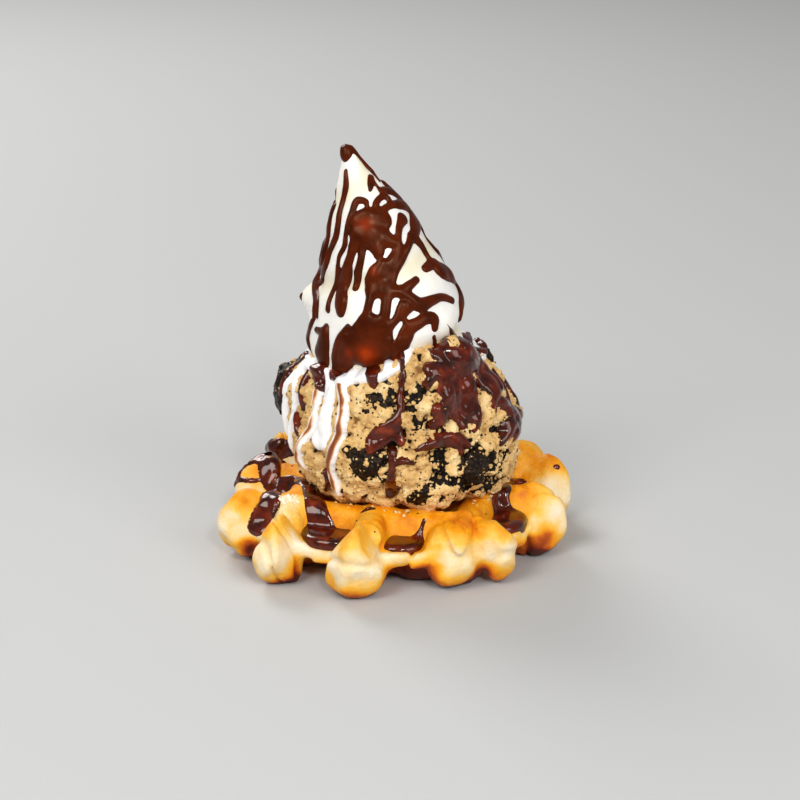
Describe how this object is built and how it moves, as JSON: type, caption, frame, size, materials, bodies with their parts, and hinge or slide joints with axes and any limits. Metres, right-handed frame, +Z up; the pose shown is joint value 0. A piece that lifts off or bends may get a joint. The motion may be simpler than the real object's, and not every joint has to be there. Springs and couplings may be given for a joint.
{
  "type": "waffle dessert with cookie dough and soft serve",
  "caption": "Thick pocketed waffle carrying a mound of cookie dough and a leaning soft-serve swirl, with chocolate sauce run over them.",
  "frame": {"origin": "on the waffle's flat underside, at the crossing of its two middle ribs", "axes": "+Z up, from the underside to the tip of the cream; -Y towards the eater; +X to the eater's right"},
  "size_m": [0.1194, 0.1145, 0.1344],
  "materials": {
    "baked_batter": "baked crust, satin",
    "cookie_dough": "crumbly, matt",
    "vanilla_cream": "smooth, satin",
    "dark_cookie": "broken crumb, matt",
    "chocolate_sauce": "wet, glossy"
  },
  "bodies": {
    "root": {"waffle": "baked_batter", "cookie_dough": "cookie_dough", "soft_serve": "vanilla_cream", "cookie_chunk_1": "dark_cookie", "cookie_chunk_2": "dark_cookie", "cookie_chunk_3": "dark_cookie", "cookie_chunk_4": "dark_cookie", "cookie_chunk_5": "dark_cookie", "cookie_chunk_6": "dark_cookie", "cookie_chunk_7": "dark_cookie", "cookie_chunk_8": "dark_cookie", "cookie_chunk_9": "dark_cookie", "cookie_chunk_10": "dark_cookie"}
  },
  "joints": []
}
